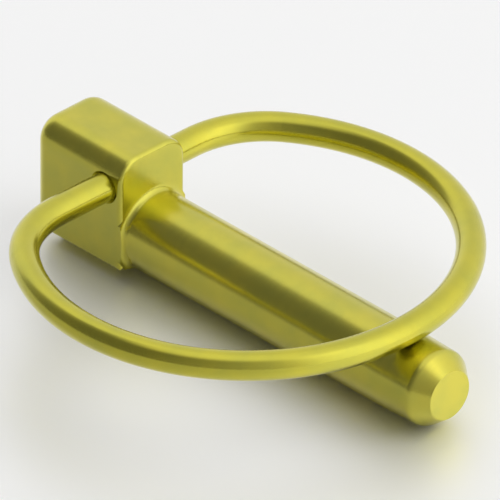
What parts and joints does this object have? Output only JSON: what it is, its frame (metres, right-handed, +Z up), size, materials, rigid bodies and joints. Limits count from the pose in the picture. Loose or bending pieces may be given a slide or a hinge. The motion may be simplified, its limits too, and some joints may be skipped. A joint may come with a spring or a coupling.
{
  "type": "lynch pin",
  "caption": "Lynch pin: round shank with a chamfered tip and a square-shouldered head, and a spring wire ring that swings in the head and closes over the shank.",
  "frame": {"origin": "on the shank's axis, in the plane of the head's shoulder", "axes": "+X along the shank from the shoulder to the tip, +Y along the ring's cross bore, +Z up through the head's high side, where the ring lies when closed"},
  "size_m": [0.0651, 0.056, 0.0162],
  "materials": {
    "pin_steel": "forged steel, zinc plated with a glossy yellow passivation",
    "ring_wire": "drawn spring wire, zinc plated with a glossy yellow passivation"
  },
  "bodies": {
    "pin": {"pin": "pin_steel"},
    "ring": {"ring": "ring_wire"}
  },
  "joints": [
    {"name": "ring_swing", "type": "hinge", "parent": "pin", "child": "ring", "pos_m": [-0.0028, 0, 0.0068], "axis": [0, -1, 0], "range_deg": [0, 343]}
  ]
}
